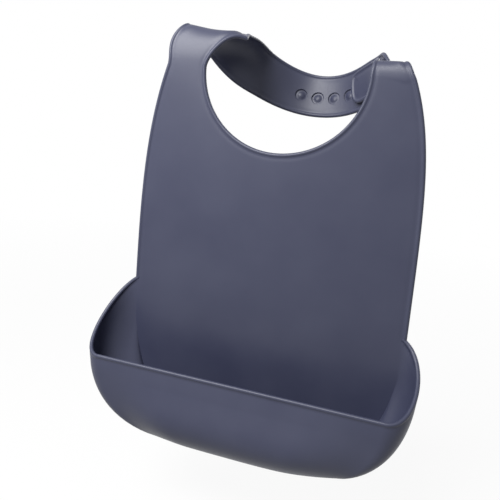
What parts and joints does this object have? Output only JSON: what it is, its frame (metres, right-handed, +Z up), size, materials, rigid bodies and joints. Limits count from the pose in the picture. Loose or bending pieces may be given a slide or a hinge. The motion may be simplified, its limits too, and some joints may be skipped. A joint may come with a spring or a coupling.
{
  "type": "silicone feeding bib",
  "caption": "Silicone feeding bib with a round neck cut, beaded edges, an open scoop pocket along the bottom and two neck straps that snap together behind the neck.",
  "frame": {"origin": "middle of the neck loop, level with the neck", "axes": "+Z up the wearer's neck, +Y from the front panel towards the nape, +X to the viewer's right"},
  "size_m": [0.2256, 0.1222, 0.2816],
  "materials": {
    "panel_silicone": "matte moulded silicone",
    "pocket_silicone": "matte moulded silicone",
    "strap_silicone": "matte moulded silicone",
    "stud_silicone": "matte moulded silicone"
  },
  "bodies": {
    "bib": {"front_panel": "panel_silicone", "catch_pocket": "pocket_silicone", "right_shoulder": "strap_silicone"},
    "long_strap": {"long_strap": "strap_silicone"},
    "long_strap_end": {"long_strap_end": "strap_silicone"},
    "short_strap": {"short_strap": "strap_silicone", "stud_1": "stud_silicone", "stud_2": "stud_silicone"}
  },
  "joints": [
    {"name": "long_strap_lift", "type": "hinge", "parent": "bib", "child": "long_strap", "pos_m": [-0.05789, -0.0347, 0.0251], "axis": [0.9969, 0, -0.0785], "range_deg": [0, 60]},
    {"name": "strap_end_peel", "type": "hinge", "parent": "long_strap", "child": "long_strap_end", "pos_m": [0.02005, 0.0299, -0.0114], "axis": [-0.2087, 0.0178, 0.9778], "range_deg": [0, 60]},
    {"name": "short_strap_peel", "type": "hinge", "parent": "bib", "child": "short_strap", "pos_m": [0.06009, -0.01449, 0.00103], "axis": [-0.8086, -0.2329, 0.5403], "range_deg": [0, 35]}
  ]
}
